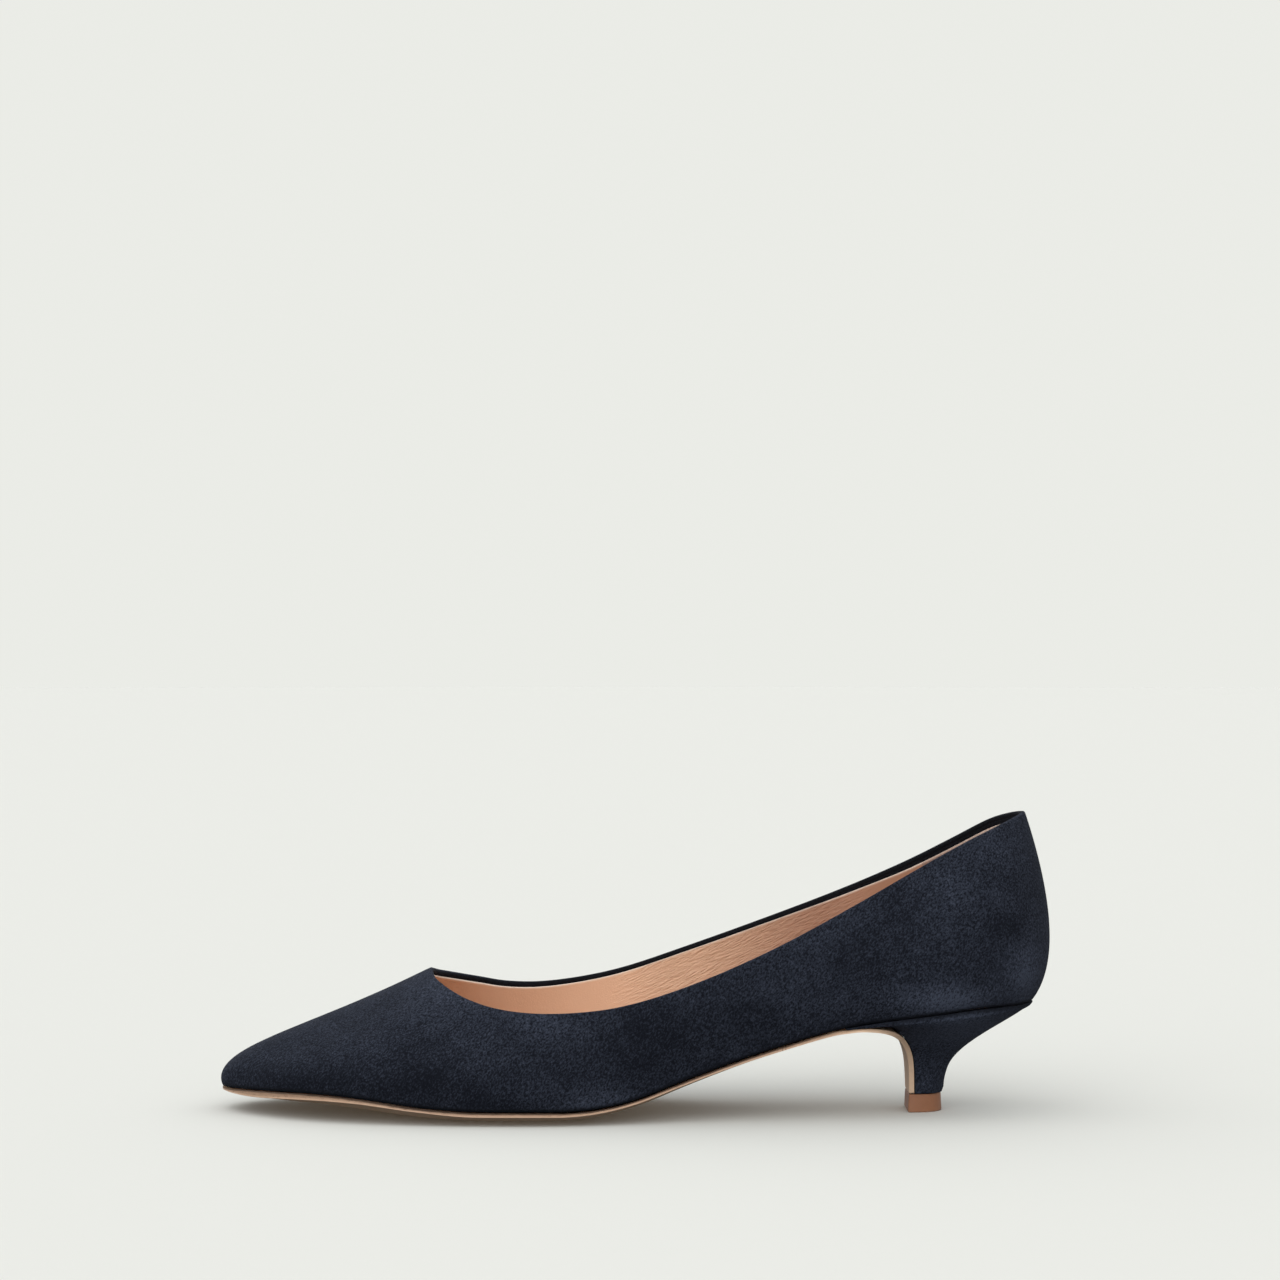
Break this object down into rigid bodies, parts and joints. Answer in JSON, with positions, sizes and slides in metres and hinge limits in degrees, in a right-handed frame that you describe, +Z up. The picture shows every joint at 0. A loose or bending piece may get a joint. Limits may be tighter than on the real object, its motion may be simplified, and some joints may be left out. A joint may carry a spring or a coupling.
{
  "type": "kitten_heel_pump",
  "caption": "Navy suede kitten heel pump, left shoe, with a low-cut topline, almond toe, tan leather lining and sole, and a low covered heel on a brown top piece.",
  "frame": {"origin": "on the floor under the middle of the shoe", "axes": "+X from the toe to the back, +Y from the outer to the inner side, +Z up"},
  "size_m": [0.2649, 0.0776, 0.0953],
  "materials": {
    "navy_suede": "brushed suede nap",
    "tan_leather": "waxed edge, worn tread",
    "navy_suede_cover": "brushed suede nap",
    "brown_rubber": "matt moulded",
    "sock_leather": "smooth"
  },
  "bodies": {
    "root": {"upper": "navy_suede", "outsole": "tan_leather", "heel": "navy_suede_cover", "top_piece": "brown_rubber", "insole": "sock_leather"}
  },
  "joints": []
}
